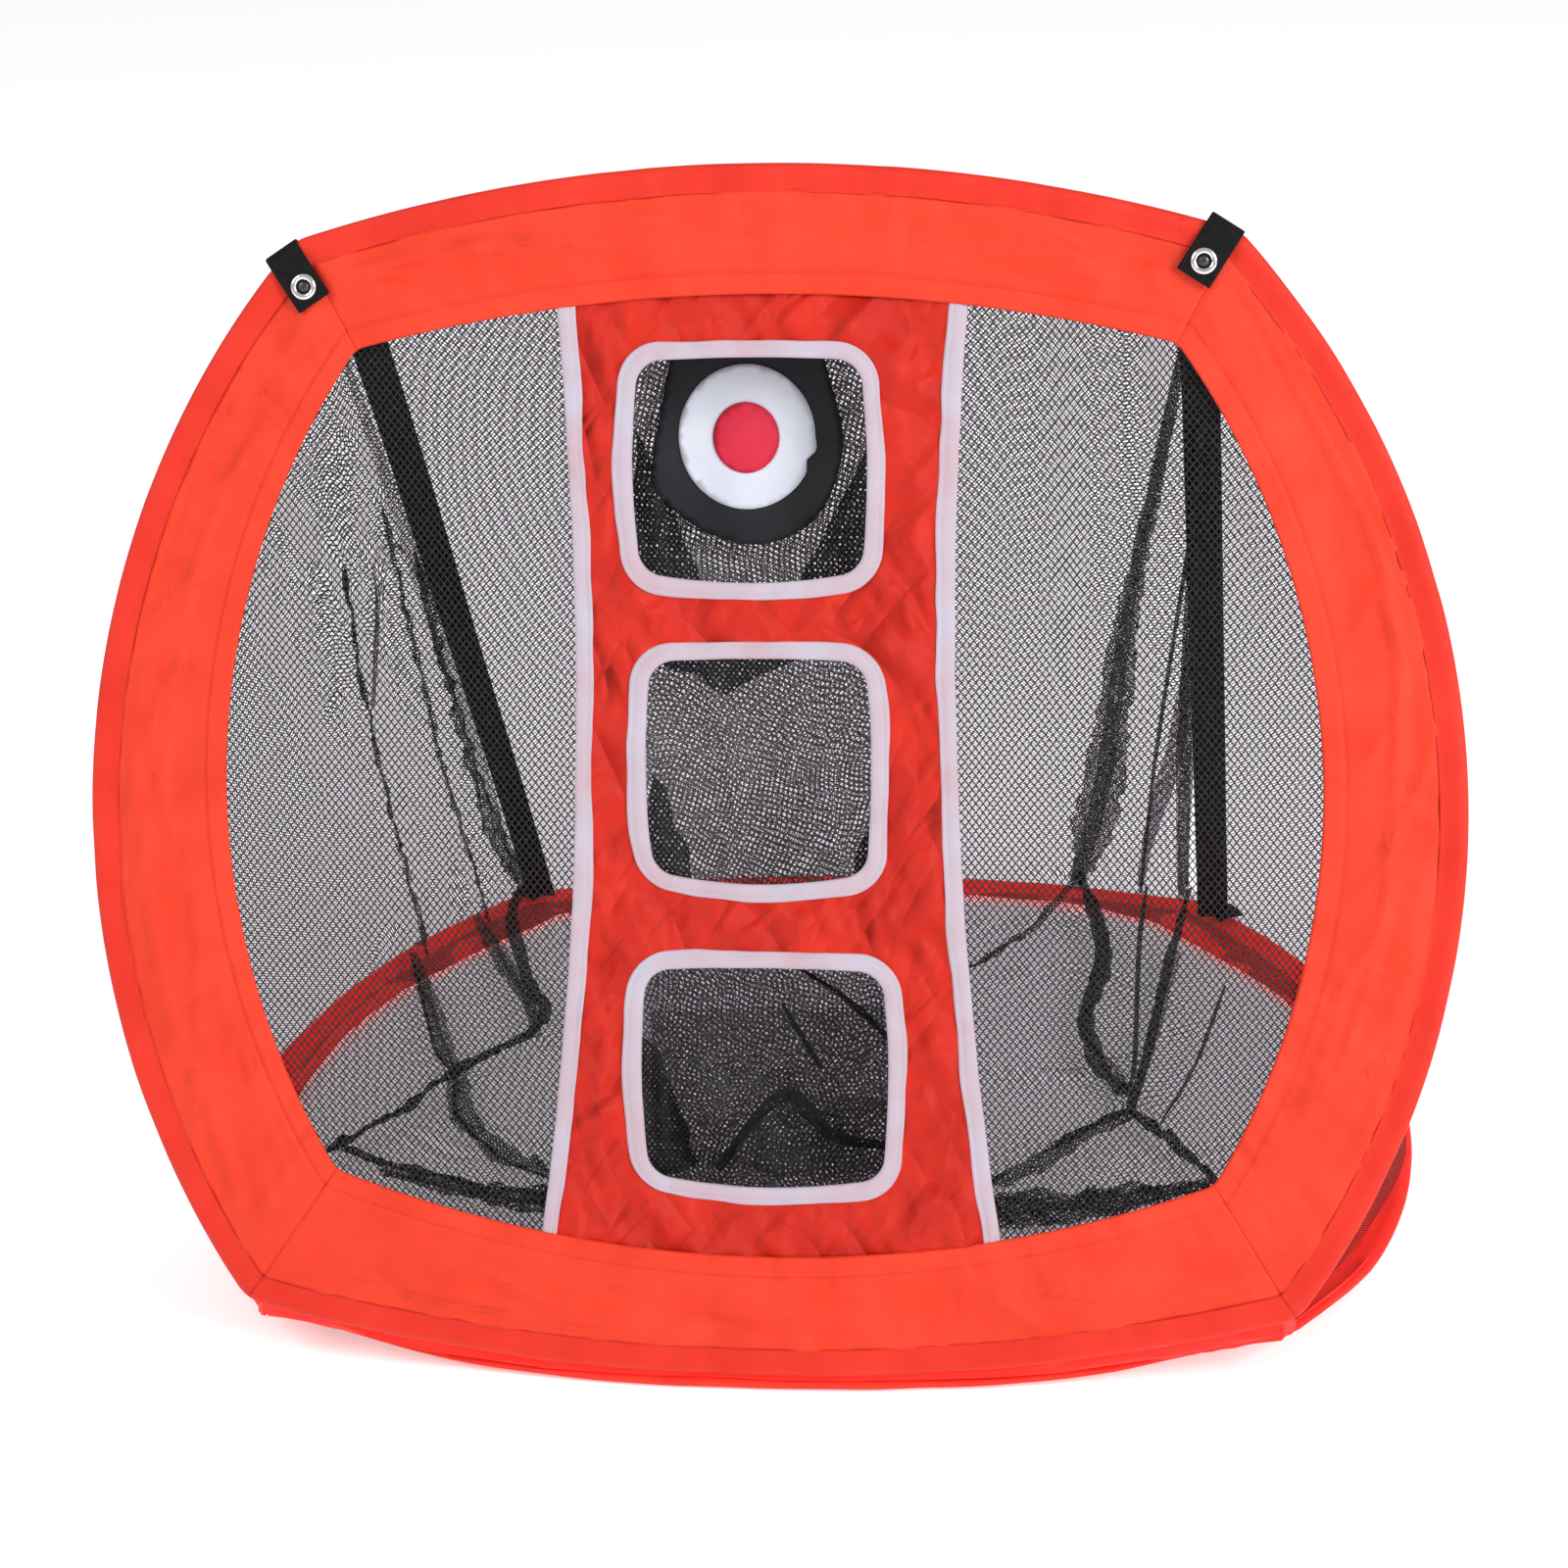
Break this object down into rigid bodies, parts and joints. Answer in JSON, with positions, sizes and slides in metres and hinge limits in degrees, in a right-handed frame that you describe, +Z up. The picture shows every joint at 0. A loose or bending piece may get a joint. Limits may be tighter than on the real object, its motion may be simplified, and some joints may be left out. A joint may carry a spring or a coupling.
{
  "type": "golf chipping net",
  "caption": "Pop-up hoop net for chipping practice: leaning fabric panel with taped target holes, mesh windows and a net bag over a ground hoop.",
  "frame": {"origin": "on the ground under the middle of the bounding box", "axes": "+X to the right seen from the player's side, +Y away from the player towards the rear of the ground hoop, +Z up; the target panel faces -Y"},
  "size_m": [0.6844, 0.6054, 0.5921],
  "materials": {
    "spring_steel": "drawn spring wire, hidden inside the fabric sleeves",
    "ferrule_steel": "crimped tube",
    "red_sleeve_fabric": "plain-woven polyester casing, slightly sheened",
    "red_border_fabric": "plain-woven polyester border with a stitched hem",
    "red_strip_fabric": "thin satin-sheened polyester, softly creased",
    "white_bias_tape": "folded bias binding, edge-stitched",
    "black_net": "knitted diamond mesh, about 3.5 mm pitch",
    "black_target_cloth": "smooth coated cloth",
    "white_target_cloth": "smooth coated cloth",
    "red_target_cloth": "smooth coated cloth",
    "black_webbing": "ribbed polypropylene webbing",
    "nickel_snap": "polished nickel plate",
    "dark_stud": "blackened"
  },
  "bodies": {
    "base": {"base_hoop_wire": "spring_steel", "base_hoop_ferrule": "ferrule_steel", "base_sleeve_front": "red_sleeve_fabric", "base_sleeve_right": "red_sleeve_fabric", "base_sleeve_rear": "red_sleeve_fabric", "base_sleeve_left": "red_sleeve_fabric", "floor_net": "black_net", "seam_gusset": "red_sleeve_fabric", "side_net_left": "black_net", "side_net_right": "black_net", "back_net": "black_net", "strap_left": "black_webbing", "strap_right": "black_webbing", "strap_anchor_left": "black_webbing", "strap_anchor_right": "black_webbing"},
    "front_panel": {"front_hoop_wire": "spring_steel", "front_hoop_ferrule": "ferrule_steel", "front_sleeve_bottom": "red_sleeve_fabric", "front_sleeve_right": "red_sleeve_fabric", "front_sleeve_top": "red_sleeve_fabric", "front_sleeve_left": "red_sleeve_fabric", "border_bottom": "red_border_fabric", "border_right": "red_border_fabric", "border_top": "red_border_fabric", "border_left": "red_border_fabric", "centre_strip": "red_strip_fabric", "strip_tape_left": "white_bias_tape", "strip_tape_right": "white_bias_tape", "hole_tape_top": "white_bias_tape", "hole_tape_middle": "white_bias_tape", "hole_tape_bottom": "white_bias_tape", "window_net_left": "black_net", "window_net_right": "black_net", "pocket_net": "black_net", "target_backing": "black_target_cloth", "target_ring": "white_target_cloth", "target_bullseye": "red_target_cloth", "tab_loop_left": "black_webbing", "tab_loop_right": "black_webbing", "snap_stud_left": "dark_stud", "snap_stud_right": "dark_stud"},
    "snap_tab_left": {"tab_flap_left": "black_webbing", "snap_cap_left": "nickel_snap"},
    "snap_tab_right": {"tab_flap_right": "black_webbing", "snap_cap_right": "nickel_snap"}
  },
  "joints": [
    {"name": "panel_fold", "type": "hinge", "parent": "base", "child": "front_panel", "pos_m": [0, -0.30025, 0.0078], "axis": [-1, 0, 0], "range_deg": [0, 69], "stiffness_Nm_per_rad": 0.7, "springref_deg": -40.11, "deforming": ["seam_gusset", "side_net_left", "side_net_right", "back_net", "strap_left", "strap_right", "pocket_net", "target_backing", "target_ring", "target_bullseye"]},
    {"name": "tab_left_flip", "type": "hinge", "parent": "front_panel", "child": "snap_tab_left", "pos_m": [-0.22919, -0.15299, 0.55972], "axis": [-0.8446, -0.1413, -0.5165], "range_deg": [0, 150]},
    {"name": "tab_right_flip", "type": "hinge", "parent": "front_panel", "child": "snap_tab_right", "pos_m": [0.22919, -0.15299, 0.55972], "axis": [-0.8446, 0.1413, 0.5165], "range_deg": [0, 150]}
  ]
}
